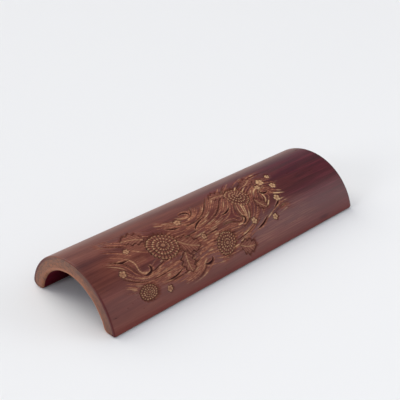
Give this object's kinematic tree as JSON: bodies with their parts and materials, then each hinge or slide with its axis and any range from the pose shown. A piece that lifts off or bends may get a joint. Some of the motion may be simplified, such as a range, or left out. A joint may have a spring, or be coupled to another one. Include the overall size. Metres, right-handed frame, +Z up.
{
  "type": "bamboo tea scoop",
  "caption": "Half tube of stained bamboo culm, hollowed and rounded, carved outside; holds and pours dry tea leaves.",
  "frame": {"origin": "on the plane of the two feet, under the middle of the scoop", "axes": "+X along the culm from the narrow end to the wide end, +Y across it to the back foot, +Z up to the crown"},
  "size_m": [0.17, 0.0615, 0.0256],
  "materials": {
    "stained_bamboo": "semi-gloss dark red-brown stained skin with fine lengthwise streaks, matt paler cut ends, shallow carving"
  },
  "bodies": {
    "root": {"half_culm": "stained_bamboo"}
  },
  "joints": []
}
